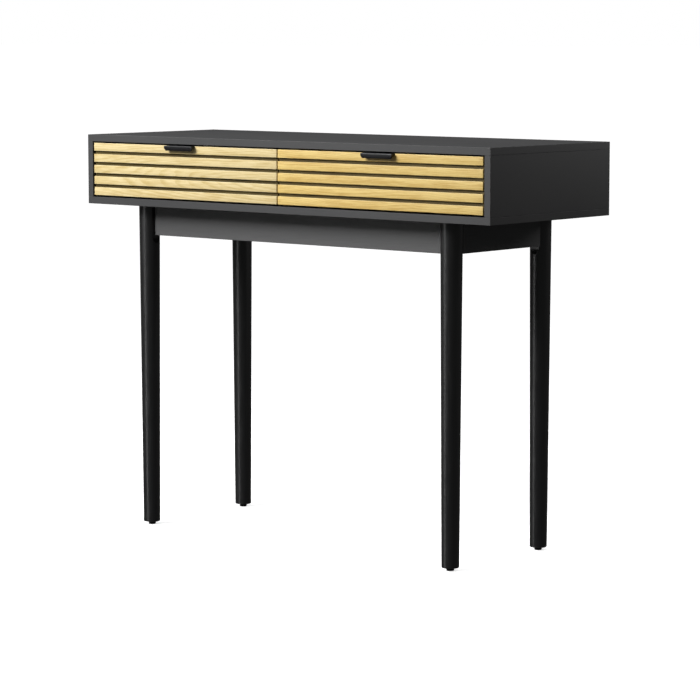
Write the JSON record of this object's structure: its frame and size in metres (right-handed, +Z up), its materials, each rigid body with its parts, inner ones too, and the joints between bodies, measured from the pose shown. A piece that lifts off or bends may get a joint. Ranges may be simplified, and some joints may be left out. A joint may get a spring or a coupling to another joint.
{
  "type": "writing desk with drawers",
  "caption": "Shallow black writing desk: a thin case with slatted oak drawer fronts and edge pulls, on round tapered legs joined by rails, with levelling feet.",
  "frame": {"origin": "on the floor, under the middle of the whole object, pulls included", "axes": "+X along the desk to its right end seen from the front, +Y from the front to the back, +Z up"},
  "size_m": [1.1, 0.41, 0.85],
  "materials": {
    "case_laminate": "matte charcoal laminate on board",
    "black_hardboard": "matte black hardboard",
    "black_painted_wood": "satin black paint on solid wood",
    "oak": "matte lacquered oak",
    "stained_board": "olive-brown stained board",
    "birch_ply": "clear lacquered plywood",
    "birch_ply_thin": "clear lacquered thin plywood",
    "beech": "bare beech",
    "black_metal": "satin black powder coat",
    "zinc_steel": "zinc plated",
    "screw_steel": "zinc plated, darker",
    "cam_zinc_alloy": "die-cast zinc alloy",
    "foot_nylon": "black nylon"
  },
  "bodies": {
    "case": {"top_panel": "case_laminate", "bottom_panel": "case_laminate", "left_side_panel": "case_laminate", "right_side_panel": "case_laminate", "centre_divider": "case_laminate", "back_panel": "black_hardboard", "cam_bolts": "zinc_steel", "cam_locks": "cam_zinc_alloy", "dowels": "beech", "front_rail": "black_painted_wood", "rear_rail": "black_painted_wood", "left_rail": "black_painted_wood", "right_rail": "black_painted_wood", "leg_front_left": "black_painted_wood", "leg_front_right": "black_painted_wood", "leg_rear_left": "black_painted_wood", "leg_rear_right": "black_painted_wood", "leg_inserts": "zinc_steel", "corner_brackets": "zinc_steel", "hanger_bolts": "zinc_steel", "hanger_nuts": "zinc_steel", "case_screws": "screw_steel", "short_screws": "screw_steel", "left_runner_channels": "zinc_steel", "right_runner_channels": "zinc_steel"},
    "left_drawer": {"left_drawer_front_board": "stained_board", "left_drawer_slat_1": "oak", "left_drawer_slat_2": "oak", "left_drawer_slat_3": "oak", "left_drawer_slat_4": "oak", "left_drawer_slat_5": "oak", "left_drawer_pull": "black_metal", "left_drawer_side_left": "birch_ply", "left_drawer_side_right": "birch_ply", "left_drawer_back": "birch_ply", "left_drawer_bottom": "birch_ply_thin", "left_drawer_slides": "zinc_steel", "left_drawer_long_screws": "screw_steel", "left_drawer_short_screws": "screw_steel"},
    "left_cages": {"left_ball_cages": "zinc_steel"},
    "right_drawer": {"right_drawer_front_board": "stained_board", "right_drawer_slat_1": "oak", "right_drawer_slat_2": "oak", "right_drawer_slat_3": "oak", "right_drawer_slat_4": "oak", "right_drawer_slat_5": "oak", "right_drawer_pull": "black_metal", "right_drawer_side_left": "birch_ply", "right_drawer_side_right": "birch_ply", "right_drawer_back": "birch_ply", "right_drawer_bottom": "birch_ply_thin", "right_drawer_slides": "zinc_steel", "right_drawer_long_screws": "screw_steel", "right_drawer_short_screws": "screw_steel"},
    "right_cages": {"right_ball_cages": "zinc_steel"},
    "foot_front_left": {"foot_front_left": "foot_nylon"},
    "foot_front_right": {"foot_front_right": "foot_nylon"},
    "foot_rear_left": {"foot_rear_left": "foot_nylon"},
    "foot_rear_right": {"foot_rear_right": "foot_nylon"}
  },
  "joints": [
    {"name": "left_drawer_slide", "type": "slide", "parent": "case", "child": "left_drawer", "axis": [0, -1, 0], "range_m": [0, 0.25]},
    {"name": "right_drawer_slide", "type": "slide", "parent": "case", "child": "right_drawer", "axis": [0, -1, 0], "range_m": [0, 0.25]},
    {"name": "left_cages_roll", "type": "slide", "parent": "case", "child": "left_cages", "axis": [0, -1, 0], "range_m": [0, 0.125]},
    {"name": "right_cages_roll", "type": "slide", "parent": "case", "child": "right_cages", "axis": [0, -1, 0], "range_m": [0, 0.125]},
    {"name": "foot_front_left_height", "type": "slide", "parent": "case", "child": "foot_front_left", "axis": [0, 0, -1], "range_m": [0, 0.01]},
    {"name": "foot_front_right_height", "type": "slide", "parent": "case", "child": "foot_front_right", "axis": [0, 0, -1], "range_m": [0, 0.01]},
    {"name": "foot_rear_left_height", "type": "slide", "parent": "case", "child": "foot_rear_left", "axis": [0, 0, -1], "range_m": [0, 0.01]},
    {"name": "foot_rear_right_height", "type": "slide", "parent": "case", "child": "foot_rear_right", "axis": [0, 0, -1], "range_m": [0, 0.01]}
  ],
  "couplings": [
    {"joint": "left_cages_roll", "follows": "left_drawer_slide", "ratio": 0.5},
    {"joint": "right_cages_roll", "follows": "right_drawer_slide", "ratio": 0.5}
  ]
}
